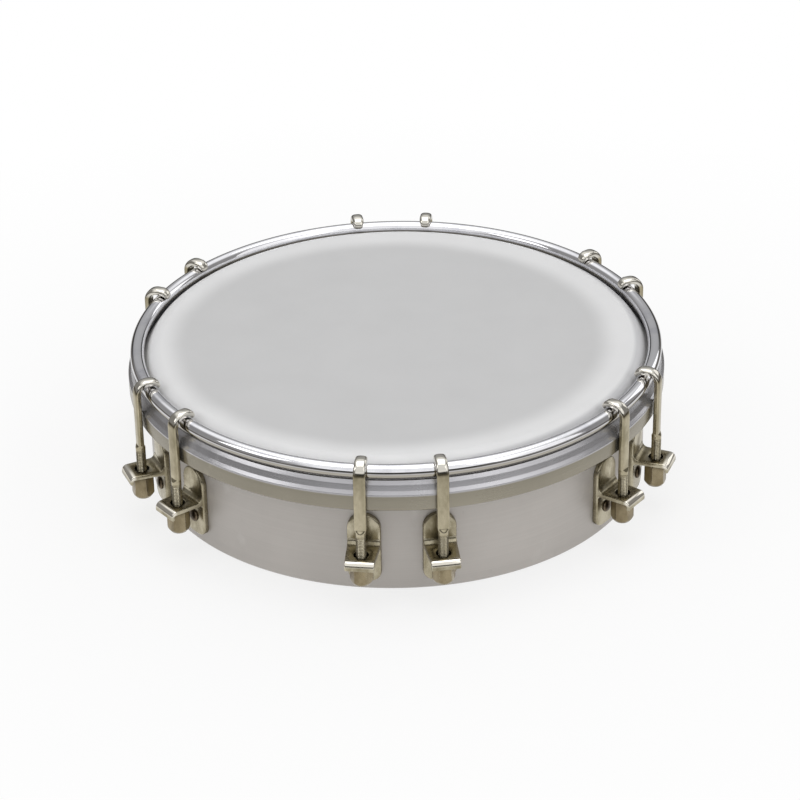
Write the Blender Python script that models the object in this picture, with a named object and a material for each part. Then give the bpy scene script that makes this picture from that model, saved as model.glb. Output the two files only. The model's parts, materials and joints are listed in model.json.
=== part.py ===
"""A six-inch tamborim: a small hand drum, tuned by twelve hooks and nuts around its shell.

Lengths are in metres and +Z is up. The drum stands on its open lower rim, with its centre line on
the Z axis. Radii are measured from that line, and heights from the rim. The front is at -Y.
"""
import math

import bmesh
import bpy

MM = 0.001

# Clearance between pieces that touch, and how far a cutter runs past what it cuts.
GAP = 0.3 * MM
CUT_PAST = 1.0 * MM

# Facets around the drum, and around the small round holes and shanks.
RING_STEPS = 60
HOLE_STEPS = 12
RIVET_STEPS = 8
MERGE = 0.01 * MM
SHARP = 35.0

# Shell: a spun ring of sheet with a rolled bearing edge above and a turned-in hem below.
SHELL_RADIUS = 76.2 * MM
SHEET = 1.5 * MM
CREST_RADIUS = 71.3 * MM
CREST_HEIGHT = 42.6 * MM
SHOULDER_BEND = SHELL_RADIUS - CREST_RADIUS
LIP_RADIUS = 70.6 * MM
LIP_HEIGHT = 42.5 * MM
HEM_BEND = 1.6 * MM
HEM_INNER_RADIUS = 72.2 * MM

# Drumhead: the film lies over the bearing edge and ends in the flesh hoop's channel.
FILM = 0.3 * MM
FILM_CENTRE_HEIGHT = CREST_HEIGHT + GAP + FILM / 2
FILM_BEND = SHOULDER_BEND + GAP + FILM / 2
FILM_TURN = 20.0
FILM_OVER_WALL = (77.45 * MM, 38.35 * MM)
FILM_HEM_RADIUS = 78.1 * MM
FILM_HEM_TOP = 37.2 * MM
FILM_HEM_BOTTOM = 34.0 * MM

# Flesh hoop: a channel ring around the shell, open at the top.
FLESH_INNER = 77.1 * MM
FLESH_OUTER = 82.0 * MM
FLESH_BOTTOM = 30.2 * MM
FLESH_TOP = 39.1 * MM
FLESH_EDGE = 0.6 * MM
BAND_TOP = 34.7 * MM
RIDGE = (81.55 * MM, 35.7 * MM)
SLOPE_END = (80.4 * MM, 38.6 * MM)
FLESH_RIM_RADIUS = 79.9 * MM
CHANNEL_INNER = 77.55 * MM
CHANNEL_OUTER = 78.6 * MM
CHANNEL_FLOOR = 33.6 * MM
INNER_WALL_TOP = 37.0 * MM

# Counter hoop: a round rod that sits on the flesh hoop.
HOOP_ROD = 2.15 * MM
HOOP_RADIUS = 78.95 * MM
HOOP_HEIGHT = FLESH_TOP + GAP + HOOP_ROD + 0.05 * MM
HOOP_STEPS = 10

# Lugs: six pairs, each lug on a radial line of its own.
PAIRS = 6
FRONT = -90.0
HALF_SPREAD = 8.1
SHANK_RADIUS = 83.3 * MM
MARK_SIZE = 5.0 * MM

# Lug bracket: an oval back plate on the shell, and a shelf that ends in a curled nose.
PLATE = 1.3 * MM
PLATE_BACK = SHELL_RADIUS + GAP - SHANK_RADIUS
PLATE_FRONT = PLATE_BACK + PLATE
PLATE_WIDTH = 9.8 * MM
PLATE_BOTTOM = 4.0 * MM
PLATE_TOP = 26.3 * MM
PLATE_FOOT_BEND = 3.2 * MM
PLATE_RIM = 0.45 * MM
SHELF_TOP = 16.5 * MM
SHELF = 1.4 * MM
SHELF_ROOT_WIDTH = 9.6 * MM
SHELF_NOSE_WIDTH = 8.5 * MM
ROOT_FILLET = 1.7 * MM
UNDER_FILLET = 0.6 * MM
NOSE_REACH = 88.4 * MM - SHANK_RADIUS
NOSE_BEND = 1.4 * MM
NOSE_SHEET = 1.1 * MM
NOSE_BOTTOM = 13.6 * MM
NOSE_LEAN = 0.15 * MM
SHANK_HOLE = 2.15 * MM

# Lug rivet: through the plate and the shell, below the shelf.
RIVET_HEIGHT = 10.0 * MM
RIVET_SHANK = 1.2 * MM
RIVET_HEAD = 1.95 * MM
RIVET_DOME = 0.95 * MM
RIVET_DOME_SHARES = ((0.82, 0.6), (0.35, 1.0))
SHOP_HEAD = 0.7 * MM
SHOP_HEAD_EDGE = 0.2 * MM

# Tension hook: a rod, threaded below, flattened to a strip above, bent over the counter hoop.
THREAD = 1.5 * MM
HOOK_BOTTOM = 6.5 * MM
THREAD_CHAMFER = 0.4 * MM
THREAD_TOP = 23.9 * MM
STRIP_BOTTOM = 24.9 * MM
STRIP_HALF_WIDTH = 1.8 * MM
STRIP_HALF_THICK = 0.95 * MM
STRIP_EDGE = 0.35 * MM
CROWN_BEND = 3.3 * MM
CROWN_HEIGHT = 45.25 * MM
CROWN_STEPS = 4
LAND_LEAN = 96.0
LAND_START = 0.1 * MM
LAND_DROP = 0.05 * MM
TIP_LEAN = 115.0
TIP_REACH = 1.05 * MM
TIP_DROP = 0.5 * MM
TIP_HALF_WIDTH = 1.45 * MM
TIP_HALF_THICK = 0.85 * MM
CAP_LEAN = 130.0
CAP_REACH = 1.8 * MM
CAP_DROP = 1.0 * MM
CAP_HALF_WIDTH = 0.9 * MM
CAP_HALF_THICK = 0.5 * MM
CAP_EDGE = 0.25 * MM

# Tuning nut: a long hexagon nut with a deep chamfer at its lower end.
NUT_FLATS = 6.0 * MM
NUT_BORE = THREAD + GAP
NUT_TOP = SHELF_TOP - SHELF - GAP
NUT_BOTTOM = 7.1 * MM
NUT_FOOT = 2.45 * MM
NUT_FLAT_START = 0.8 * MM
NUT_CORNER_START = 1.4 * MM
NUT_POINTS = 12

ALUMINIUM = ((0.60, 0.58, 0.56), 0.34, 1.0)
BRIGHT_ALUMINIUM = ((0.68, 0.66, 0.65), 0.28, 1.0)
MILKY_FILM = ((0.78, 0.78, 0.77), 0.32, 0.0)
CHROME = ((0.82, 0.82, 0.84), 0.07, 1.0)
NICKEL = ((0.56, 0.53, 0.43), 0.26, 1.0)
NUT_NICKEL = ((0.50, 0.46, 0.36), 0.30, 1.0)
RIVET_STEEL = ((0.46, 0.43, 0.36), 0.32, 1.0)


def finish(name, look):
    """Make a material from a colour, a roughness and a metallic value."""
    colour, roughness, metallic = look
    material = bpy.data.materials.new(name)
    material.use_nodes = True
    shader = material.node_tree.nodes["Principled BSDF"]
    shader.inputs["Base Color"].default_value = (*colour, 1.0)
    shader.inputs["Roughness"].default_value = roughness
    shader.inputs["Metallic"].default_value = metallic
    return material


def arc(centre, radius, start, end, steps):
    """Points on a round bend, from one angle to another in degrees."""
    points = []
    for step in range(steps + 1):
        angle = math.radians(start + (end - start) * step / steps)
        points.append((centre[0] + radius * math.cos(angle), centre[1] + radius * math.sin(angle)))
    return points


def smooth_rounds(mesh):
    """Shade a mesh smooth, and keep its real edges sharp."""
    mesh.shade_smooth()
    mesh.set_sharp_from_angle(angle=math.radians(SHARP))
    return mesh


def mesh_from(bm, name):
    """Close a bmesh into a mesh with its faces out."""
    bmesh.ops.recalc_face_normals(bm, faces=bm.faces)
    mesh = bpy.data.meshes.new(name)
    bm.to_mesh(mesh)
    bm.free()
    return smooth_rounds(mesh)


def add_object(name, mesh, material=None, parent=None):
    """Put a mesh in the scene under a piece's name."""
    piece = bpy.data.objects.new(name, mesh)
    bpy.context.scene.collection.objects.link(piece)
    if material is not None and not mesh.materials:
        mesh.materials.append(material)
    piece.parent = parent
    return piece


def spin_profile(name, points, closed=True):
    """Turn a profile of (radius, height) points once around the Z axis."""
    bm = bmesh.new()
    verts = [bm.verts.new((radius, 0.0, height)) for radius, height in points]
    edges = [bm.edges.new(pair) for pair in zip(verts, verts[1:])]
    if closed:
        edges.append(bm.edges.new((verts[-1], verts[0])))
    bmesh.ops.spin(
        bm,
        geom=verts + edges,
        cent=(0.0, 0.0, 0.0),
        axis=(0.0, 0.0, 1.0),
        angle=2.0 * math.pi,
        steps=RING_STEPS,
        use_merge=True,
    )
    bmesh.ops.remove_doubles(bm, verts=bm.verts, dist=MERGE)
    return mesh_from(bm, name)


def prism(outline, low, high, to_point):
    """Extrude a closed outline from low to high; to_point gives each corner its place."""
    bm = bmesh.new()
    rings = []
    for level in (low, high):
        rings.append([bm.verts.new(to_point(a, b, level)) for a, b in outline])
    for index in range(len(outline)):
        after = (index + 1) % len(outline)
        bm.faces.new((rings[0][index], rings[0][after], rings[1][after], rings[1][index]))
    bm.faces.new(rings[0])
    bm.faces.new(rings[1])
    return bm


def circle_outline(radius, steps):
    """Corners of a round hole or pin, with a flat towards each axis."""
    half = 180.0 / steps
    return arc((0.0, 0.0), radius / math.cos(math.radians(half)), half, 360.0 + half, steps)[:-1]


def loft(name, rings):
    """Join rings of points that have the same count, and close both ends."""
    bm = bmesh.new()
    loops = [[bm.verts.new(point) for point in ring] for ring in rings]
    count = len(rings[0])
    for lower, upper in zip(loops, loops[1:]):
        for index in range(count):
            after = (index + 1) % count
            bm.faces.new((lower[index], lower[after], upper[after], upper[index]))
    bm.faces.new(loops[0])
    bm.faces.new(loops[-1])
    return mesh_from(bm, name)


def evaluated_copy(piece, name):
    """The piece's mesh with its modifiers applied, for sharing between its copies."""
    bpy.context.view_layer.update()
    shaped = piece.evaluated_get(bpy.context.evaluated_depsgraph_get())
    mesh = bpy.data.meshes.new_from_object(shaped)
    mesh.name = name
    return smooth_rounds(mesh)


def boolean(piece, other, operation):
    """Join another shape to a piece, or cut it away."""
    modifier = piece.modifiers.new(operation.lower(), "BOOLEAN")
    modifier.operation = operation
    modifier.solver = "EXACT"
    modifier.object = other
    other.hide_render = True
    other.display_type = "WIRE"


def shell_profile():
    """The sheet's section: hem, wall, rolled bearing edge, and back down the inside."""
    inner = SHELL_RADIUS - SHEET
    bend = SHOULDER_BEND - SHEET
    level = CREST_HEIGHT - SHOULDER_BEND
    points = arc((SHELL_RADIUS - HEM_BEND, HEM_BEND), HEM_BEND, -90.0, 0.0, 2)
    points += arc((CREST_RADIUS, level), SHOULDER_BEND, 0.0, 90.0, 4)
    points.append((LIP_RADIUS, LIP_HEIGHT))
    points.append((LIP_RADIUS, CREST_HEIGHT - SHEET))
    points += arc((CREST_RADIUS, level), bend, 90.0, 0.0, 3)
    points.append((inner, SHEET))
    points.append((HEM_INNER_RADIUS, SHEET))
    points.append((HEM_INNER_RADIUS, 0.0))
    return points


def make_shell(material, stations):
    """Spin the shell, and drill it for a rivet at each lug."""
    shell = add_object("shell", spin_profile("shell", shell_profile()), material)
    for number, station in enumerate(stations, start=1):
        drill = rivet_drill("shell_drill_%02d" % number, station)
        boolean(shell, drill, "DIFFERENCE")
    return shell


def film_path():
    """The film's middle line: flat, over the bearing edge, and down into the channel."""
    level = CREST_HEIGHT - SHOULDER_BEND
    path = [(0.0, FILM_CENTRE_HEIGHT)]
    path += arc((CREST_RADIUS, level), FILM_BEND, 90.0, FILM_TURN, 4)
    path.append(FILM_OVER_WALL)
    path.append((FILM_HEM_RADIUS, FILM_HEM_TOP))
    path.append((FILM_HEM_RADIUS, FILM_HEM_BOTTOM))
    return path


def thicken(path, half):
    """Both faces of a sheet that follows a path in the (radius, height) plane."""
    above = []
    below = []
    for index, (radius, height) in enumerate(path):
        before = path[max(index - 1, 0)]
        after = path[min(index + 1, len(path) - 1)]
        along = math.atan2(after[1] - before[1], after[0] - before[0])
        step = (-math.sin(along) * half, math.cos(along) * half)
        if index == 0:
            step = (0.0, half)
        above.append((radius + step[0], height + step[1]))
        below.append((radius - step[0], height - step[1]))
    return above + below[::-1]


def make_drumhead(material):
    """Spin the film, which closes on the centre line."""
    mesh = spin_profile("drumhead_film", thicken(film_path(), FILM / 2), closed=False)
    return add_object("drumhead_film", mesh, material)


def make_flesh_hoop(material):
    """Spin the channel ring: a sloped upper face, a rounded ridge and a plain band below it."""
    profile = [
        (FLESH_INNER, FLESH_BOTTOM),
        (FLESH_OUTER - FLESH_EDGE, FLESH_BOTTOM),
        (FLESH_OUTER, FLESH_BOTTOM + FLESH_EDGE),
        (FLESH_OUTER, BAND_TOP),
        RIDGE,
        SLOPE_END,
        (FLESH_RIM_RADIUS, FLESH_TOP),
        (CHANNEL_OUTER, FLESH_TOP),
        (CHANNEL_OUTER, CHANNEL_FLOOR),
        (CHANNEL_INNER, CHANNEL_FLOOR),
        (CHANNEL_INNER, INNER_WALL_TOP),
        (FLESH_INNER, INNER_WALL_TOP),
    ]
    return add_object("flesh_hoop", spin_profile("flesh_hoop", profile), material)


def make_counter_hoop(material):
    """Spin the round rod."""
    section = arc((HOOP_RADIUS, HOOP_HEIGHT), HOOP_ROD, 0.0, 360.0, HOOP_STEPS)[:-1]
    return add_object("counter_hoop", spin_profile("counter_hoop", section), material)


def make_stations():
    """Mark each lug's shank axis with an empty whose X axis points outwards."""
    stations = []
    for pair in range(PAIRS):
        for side in (-1, 1):
            angle = math.radians(FRONT + pair * 360.0 / PAIRS + side * HALF_SPREAD)
            station = bpy.data.objects.new("lug_station_%02d" % (len(stations) + 1), None)
            bpy.context.scene.collection.objects.link(station)
            station.location = (SHANK_RADIUS * math.cos(angle), SHANK_RADIUS * math.sin(angle), 0.0)
            station.rotation_euler = (0.0, 0.0, angle)
            station.empty_display_size = MARK_SIZE
            stations.append(station)
    return stations


def plate_outline():
    """The back plate seen from outside: a full arch above, and two round corners below."""
    half = PLATE_WIDTH / 2
    foot = half - PLATE_FOOT_BEND
    outline = arc((0.0, PLATE_TOP - half), half, 0.0, 180.0, 8)
    outline += arc((-foot, PLATE_BOTTOM + PLATE_FOOT_BEND), PLATE_FOOT_BEND, 180.0, 270.0, 2)
    outline += arc((foot, PLATE_BOTTOM + PLATE_FOOT_BEND), PLATE_FOOT_BEND, 270.0, 360.0, 2)
    return outline


def make_plate():
    """Extrude the back plate, round its front rim, and bend it to the shell."""
    bm = prism(plate_outline(), PLATE_BACK, PLATE_FRONT, lambda y, z, x: (x, y, z))
    bmesh.ops.recalc_face_normals(bm, faces=bm.faces)
    rim = [edge for edge in bm.edges if all(vert.co.x > PLATE_FRONT - GAP for vert in edge.verts)]
    bmesh.ops.bevel(bm, geom=rim, offset=PLATE_RIM, segments=1, affect="EDGES", profile=0.5)
    for vert in bm.verts:
        vert.co.x -= vert.co.y ** 2 / (2.0 * SHELL_RADIUS)
    return mesh_from(bm, "plate")


def shelf_section():
    """The shelf from the side: root fillet, flat top, curled nose, and back underneath."""
    buried = PLATE_BACK + PLATE / 2
    under = SHELF_TOP - SHELF
    inside = NOSE_REACH - NOSE_SHEET
    section = [(buried, SHELF_TOP + ROOT_FILLET)]
    section += arc((PLATE_FRONT + ROOT_FILLET, SHELF_TOP + ROOT_FILLET), ROOT_FILLET, 180.0, 270.0, 2)
    section += arc((NOSE_REACH - NOSE_BEND, SHELF_TOP - NOSE_BEND), NOSE_BEND, 90.0, 0.0, 2)
    section.append((NOSE_REACH - NOSE_LEAN, NOSE_BOTTOM))
    section.append((inside, NOSE_BOTTOM))
    section.append((inside, under))
    section += arc((PLATE_FRONT + UNDER_FILLET, under - UNDER_FILLET), UNDER_FILLET, 90.0, 180.0, 1)
    section.append((buried, under - UNDER_FILLET))
    return section


def make_shelf():
    """Extrude the shelf across the plate, narrower at its nose."""
    length = NOSE_REACH - PLATE_FRONT

    def place(x, z, side):
        share = min(max((x - PLATE_FRONT) / length, 0.0), 1.0)
        width = SHELF_ROOT_WIDTH + (SHELF_NOSE_WIDTH - SHELF_ROOT_WIDTH) * share
        return (x, side * width / 2, z)

    return mesh_from(prism(shelf_section(), -1.0, 1.0, place), "shelf")


def rivet_drill(name, parent):
    """A cutter for the rivet's hole, through the plate and the shell."""
    hole = circle_outline(RIVET_SHANK + GAP, RIVET_STEPS)
    inside = SHELL_RADIUS - SHEET - SHANK_RADIUS - CUT_PAST
    outside = PLATE_FRONT + CUT_PAST

    def place(y, z, x):
        return (x, y, z + RIVET_HEIGHT)

    return add_object(name, mesh_from(prism(hole, inside, outside, place), name), parent=parent)


def bracket_mesh():
    """Join the plate and the shelf, then cut the shank's hole and the rivet's hole."""
    plate = add_object("bracket_plate", make_plate())
    shelf = add_object("bracket_shelf", make_shelf())
    hole = circle_outline(SHANK_HOLE, HOLE_STEPS)
    low = SHELF_TOP - SHELF - CUT_PAST
    high = SHELF_TOP + CUT_PAST
    drill = prism(hole, low, high, lambda x, y, z: (x, y, z))
    shank_drill = add_object("shank_drill", mesh_from(drill, "shank_drill"))
    plate_drill = rivet_drill("plate_drill", None)
    boolean(plate, shelf, "UNION")
    boolean(plate, shank_drill, "DIFFERENCE")
    boolean(plate, plate_drill, "DIFFERENCE")
    mesh = evaluated_copy(plate, "lug_bracket")
    for helper in (plate, shelf, shank_drill, plate_drill):
        bpy.data.objects.remove(helper, do_unlink=True)
    return mesh


def rivet_ring(radius, x):
    """One ring of the rivet, around its own axis, which is level."""
    ring = []
    for index in range(RIVET_STEPS):
        angle = 2.0 * math.pi * (index + 0.5) / RIVET_STEPS
        ring.append((x, radius * math.cos(angle), RIVET_HEIGHT + radius * math.sin(angle)))
    return ring


def rivet_mesh():
    """A domed head outside, the shank, and a flat head inside the shell."""
    seat = PLATE_FRONT + GAP
    inner_seat = SHELL_RADIUS - SHEET - GAP - SHANK_RADIUS
    rings = [
        rivet_ring(RIVET_HEAD - SHOP_HEAD_EDGE, inner_seat - SHOP_HEAD),
        rivet_ring(RIVET_HEAD, inner_seat),
        rivet_ring(RIVET_SHANK, inner_seat),
        rivet_ring(RIVET_SHANK, seat),
        rivet_ring(RIVET_HEAD, seat),
    ]
    for width_share, height_share in RIVET_DOME_SHARES:
        rings.append(rivet_ring(RIVET_HEAD * width_share, seat + RIVET_DOME * height_share))
    return loft("lug_rivet", rings)


def hook_ring(x, z, lean, half_width, half_thick, edge):
    """One eight-sided section of the hook; lean turns it with the bend, in degrees."""
    corners = [
        (half_width, half_thick - edge),
        (half_width - edge, half_thick),
        (edge - half_width, half_thick),
        (-half_width, half_thick - edge),
        (-half_width, edge - half_thick),
        (edge - half_width, -half_thick),
        (half_width - edge, -half_thick),
        (half_width, edge - half_thick),
    ]
    cosine = math.cos(math.radians(lean))
    sine = math.sin(math.radians(lean))
    return [(x + out * cosine, across, z + out * sine) for across, out in corners]


def round_ring(z, radius):
    """A section of the threaded rod: a regular octagon."""
    return hook_ring(0.0, z, 0.0, radius, radius, radius * (2.0 - math.sqrt(2.0)))


def hook_mesh():
    """Loft the hook from the rod's lower end to the tip that rests on the counter hoop."""
    strip = (STRIP_HALF_WIDTH, STRIP_HALF_THICK, STRIP_EDGE)
    bend_height = CROWN_HEIGHT - CROWN_BEND
    rings = [
        round_ring(HOOK_BOTTOM, THREAD - THREAD_CHAMFER),
        round_ring(HOOK_BOTTOM + THREAD_CHAMFER, THREAD),
        round_ring(THREAD_TOP, THREAD),
        hook_ring(0.0, STRIP_BOTTOM, 0.0, *strip),
        hook_ring(0.0, bend_height, 0.0, *strip),
    ]
    for step in range(1, CROWN_STEPS + 1):
        lean = 90.0 * step / CROWN_STEPS
        place = arc((-CROWN_BEND, bend_height), CROWN_BEND, lean, lean, 1)[0]
        rings.append(hook_ring(place[0], place[1], lean, *strip))
    over = HOOP_RADIUS - SHANK_RADIUS
    land = (over + LAND_START, CROWN_HEIGHT - LAND_DROP)
    tip = (over - TIP_REACH, CROWN_HEIGHT - TIP_DROP)
    cap = (over - CAP_REACH, CROWN_HEIGHT - CAP_DROP)
    rings.append(hook_ring(*land, LAND_LEAN, *strip))
    rings.append(hook_ring(*tip, TIP_LEAN, TIP_HALF_WIDTH, TIP_HALF_THICK, STRIP_EDGE))
    rings.append(hook_ring(*cap, CAP_LEAN, CAP_HALF_WIDTH, CAP_HALF_THICK, CAP_EDGE))
    return loft("tension_hook", rings)


def nut_ring(flat_height, corner_height, flat_radius, corner_radius):
    """Twelve points around the nut: the middle of each flat, and each corner."""
    ring = []
    for index in range(NUT_POINTS):
        corner = index % 2 == 1
        radius = corner_radius if corner else flat_radius
        height = corner_height if corner else flat_height
        angle = 2.0 * math.pi * index / NUT_POINTS
        ring.append((radius * math.cos(angle), radius * math.sin(angle), height))
    return ring


def nut_mesh():
    """Stack the nut's rings up the outside and down the bore."""
    flat = NUT_FLATS / 2
    corner = flat / math.cos(math.radians(30.0))
    low_flat = NUT_BOTTOM + NUT_FLAT_START
    low_corner = NUT_BOTTOM + NUT_CORNER_START
    rings = [
        nut_ring(NUT_BOTTOM, NUT_BOTTOM, NUT_BORE, NUT_BORE),
        nut_ring(NUT_BOTTOM, NUT_BOTTOM, NUT_FOOT, NUT_FOOT),
        nut_ring(low_flat, low_corner, flat, corner),
        nut_ring(NUT_TOP, NUT_TOP, flat, corner),
        nut_ring(NUT_TOP, NUT_TOP, NUT_BORE, NUT_BORE),
    ]
    bm = bmesh.new()
    loops = [[bm.verts.new(point) for point in ring] for ring in rings]
    for lower, upper in zip(loops, loops[1:] + loops[:1]):
        for index in range(NUT_POINTS):
            after = (index + 1) % NUT_POINTS
            bm.faces.new((lower[index], lower[after], upper[after], upper[index]))
    return mesh_from(bm, "tuning_nut")


def make_lugs(stations):
    """Place a bracket, a rivet, a hook and a nut at each station."""
    kinds = {
        "lug_bracket": (bracket_mesh(), finish("bracket_nickel", NICKEL)),
        "lug_rivet": (rivet_mesh(), finish("rivet_steel", RIVET_STEEL)),
        "tension_hook": (hook_mesh(), finish("hook_nickel", NICKEL)),
        "tuning_nut": (nut_mesh(), finish("nut_nickel", NUT_NICKEL)),
    }
    for kind, (mesh, material) in kinds.items():
        for number, station in enumerate(stations, start=1):
            add_object("%s_%02d" % (kind, number), mesh, material, station)


def main():
    """Clear the scene and make the drum, from the shell outwards."""
    for old in list(bpy.data.objects):
        bpy.data.objects.remove(old, do_unlink=True)
    stations = make_stations()
    make_shell(finish("shell_aluminium", ALUMINIUM), stations)
    make_drumhead(finish("milky_film", MILKY_FILM))
    make_flesh_hoop(finish("flesh_hoop_aluminium", BRIGHT_ALUMINIUM))
    make_counter_hoop(finish("counter_hoop_chrome", CHROME))
    make_lugs(stations)


main()
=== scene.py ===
# %% [markdown]
# # Dressing a six-inch tamborim
# A tamborim is the smallest drum of a samba band: a shallow metal shell with one head, held in one
# hand and struck with a thin stick. The frame that this lesson loads already has every piece at its
# true size and place. What it lacks is the look: fine round surfaces, threads, plating, spun metal
# and a milky head. Each step below makes a helper, a finish or a piece, and says why it is made so.

# %% Load the drum's frame
import json
import math
import bmesh
import bpy
from mathutils import Matrix, Vector


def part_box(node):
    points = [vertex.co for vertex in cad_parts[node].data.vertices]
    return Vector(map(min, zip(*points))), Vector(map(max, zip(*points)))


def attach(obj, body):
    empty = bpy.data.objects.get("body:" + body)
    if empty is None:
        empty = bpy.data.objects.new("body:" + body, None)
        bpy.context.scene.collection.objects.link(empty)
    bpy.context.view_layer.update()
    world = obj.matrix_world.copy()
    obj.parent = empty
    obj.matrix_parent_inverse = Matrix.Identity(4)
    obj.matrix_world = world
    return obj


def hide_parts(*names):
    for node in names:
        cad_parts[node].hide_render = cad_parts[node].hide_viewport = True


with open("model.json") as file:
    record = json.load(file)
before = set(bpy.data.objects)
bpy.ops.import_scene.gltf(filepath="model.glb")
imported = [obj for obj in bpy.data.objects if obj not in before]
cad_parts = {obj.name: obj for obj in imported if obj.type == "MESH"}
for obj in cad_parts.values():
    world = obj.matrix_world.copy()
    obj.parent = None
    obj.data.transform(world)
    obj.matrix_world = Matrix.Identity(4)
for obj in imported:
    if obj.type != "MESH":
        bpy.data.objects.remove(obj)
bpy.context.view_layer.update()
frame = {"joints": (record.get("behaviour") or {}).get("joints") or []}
MM = 0.001

# %% [markdown]
# ## Where the lugs are
# Twelve lugs stand around the drum in six pairs. Each nut turns on its hook's shank, so the nuts'
# hinges say exactly where every shank is. Reading them from the frame is safer than writing the
# angles again: if the frame changes, the dressing follows it. The matrix made here puts a piece that
# is modelled around its own shank, with X pointing outwards, in its place on the drum.

# %% Find the twelve shanks
lug_places = {}
for joint in frame["joints"]:
    if joint["name"].startswith("nut_spin_"):
        x, y = joint["pos_m"][:2]
        turn = Matrix.Rotation(math.atan2(y, x), 4, "Z")
        lug_places[joint["name"][-2:]] = Matrix.Translation((x, y, 0.0)) @ turn
        SHANK_RADIUS = math.hypot(x, y)
print(len(lug_places), "lugs, with shanks", round(SHANK_RADIUS / MM, 2), "mm from the centre line")

# %% [markdown]
# ## The drum's own sizes
# The turned pieces give their main sizes as boxes: a ring's box reaches exactly to its outer radius.
# The rest are the maker's details, such as how thick the sheet is and how tight each bend is. Each is
# written down in the step that needs it.

# %% Measure the turned pieces
SHELL_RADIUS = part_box("shell")[1].x
SHELL_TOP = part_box("shell")[1].z
FILM_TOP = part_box("drumhead_film")[1].z
FLESH_LOW, FLESH_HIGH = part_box("flesh_hoop")
ROD_LOW, ROD_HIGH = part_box("counter_hoop")
ROD_RADIUS = 2.15 * MM
ROD_CENTRE_RADIUS = ROD_HIGH.x - ROD_RADIUS
ROD_CENTRE_HEIGHT = (ROD_LOW.z + ROD_HIGH.z) / 2
print("shell:", round(SHELL_RADIUS / MM, 2), "mm in radius,", round(SHELL_TOP / MM, 2), "mm high")
print("rod ring:", round(ROD_CENTRE_RADIUS / MM, 2), "mm in radius,",
      round(ROD_CENTRE_HEIGHT / MM, 2), "mm above the floor")

# %% [markdown]
# ## Helpers for outlines
# Sheet metal has no sharp corners, so most outlines here are a few corners with a radius each. The
# first helper gives the points of a plain arc. The second turns corners into points, with a true arc
# at each. Written once, they keep every profile below short enough to read as a drawing.

# %% Draw arcs and round the corners of an outline
def arc(centre, radius, start, end, steps):
    """Points on an arc, from one angle to another in degrees."""
    points = []
    for step in range(steps + 1):
        angle = math.radians(start + (end - start) * step / steps)
        points.append((centre[0] + radius * math.cos(angle), centre[1] + radius * math.sin(angle)))
    return points


def rounded(corners, steps):
    """Points of a closed outline whose corners are (x, y, radius)."""
    points = []
    for index, (x, y, radius) in enumerate(corners):
        if radius == 0.0:
            points.append((x, y))
            continue
        here = Vector((x, y))
        back = (Vector(corners[index - 1][:2]) - here).normalized()
        ahead = (Vector(corners[(index + 1) % len(corners)][:2]) - here).normalized()
        half = back.angle(ahead) / 2
        centre = here + (back + ahead).normalized() * (radius / math.sin(half))
        first = here + back * (radius / math.tan(half)) - centre
        last = here + ahead * (radius / math.tan(half)) - centre
        start = math.degrees(math.atan2(first.y, first.x))
        sweep = (math.degrees(math.atan2(last.y, last.x)) - start + 180) % 360 - 180
        points += arc(centre, radius, start, start + sweep, steps)
    return points


print("one rounded corner takes", len(arc((0.0, 0.0), 1.0, 0, 90, 4)), "points")

# %% [markdown]
# ## Helpers for surfaces
# A piece becomes a mesh in one of two ways here: rings of points are joined into a skin, or an
# outline is turned around the drum's centre line. Turning is only a skin over copies of the outline,
# so the second helper uses the first. A Screw modifier could do the turning, but a few lines of
# bmesh serve for both and give clean four-sided faces whose places are known exactly.

# %% Skin a stack of rings, or turn an outline
TURN_STEPS = 256
SAME_POINT = 0.001 * MM


def skin(rings, closed_ends=False, closed_loop=False):
    """Join rings of points, each with as many points as the last, into one surface."""
    bm = bmesh.new()
    loops = [[bm.verts.new(point) for point in ring] for ring in rings]
    pairs = list(zip(loops, loops[1:]))
    if closed_loop:
        pairs.append((loops[-1], loops[0]))
    for lower, upper in pairs:
        for index in range(len(lower)):
            after = (index + 1) % len(lower)
            bm.faces.new((lower[index], lower[after], upper[after], upper[index]))
    if closed_ends:
        bm.faces.new(loops[0])
        bm.faces.new(loops[-1])
    bmesh.ops.remove_doubles(bm, verts=bm.verts, dist=SAME_POINT)
    bmesh.ops.recalc_face_normals(bm, faces=bm.faces)
    return bm


def turned(outline):
    """Turn a closed outline of (radius, height) points around the drum's centre line."""
    rings = []
    for step in range(TURN_STEPS):
        angle = 2 * math.pi * step / TURN_STEPS
        rings.append([(r * math.cos(angle), r * math.sin(angle), z) for r, z in outline])
    return skin(rings, closed_loop=True)


print("a turned piece has", TURN_STEPS, "steps, each", round(360 / TURN_STEPS, 2), "degrees")

# %% [markdown]
# ## Helpers for pieces
# Turned metal is smooth all the way round but has true edges, so faces that meet at a small angle
# are shaded as one and the rest stay sharp. The last helper puts a piece in the scene, and says which
# plain solid of the frame it stands for, which body it moves with and which finish it takes.

# %% Shade a mesh and dress a node
SMOOTH_ANGLE = math.radians(30)


def smoothed(mesh, angle=SMOOTH_ANGLE):
    """Shade a mesh smooth, with its real edges kept sharp."""
    mesh.shade_smooth()
    mesh.set_sharp_from_angle(angle=angle)
    return mesh


def to_mesh(bm, name, angle=SMOOTH_ANGLE):
    """Turn a bmesh into a mesh with such shading."""
    mesh = bpy.data.meshes.new(name)
    bm.to_mesh(mesh)
    bm.free()
    return smoothed(mesh, angle)


def put_in_scene(name, data):
    """Make an object of a mesh, a lamp or a camera."""
    thing = bpy.data.objects.new(name, data)
    bpy.context.scene.collection.objects.link(thing)
    return thing


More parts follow.
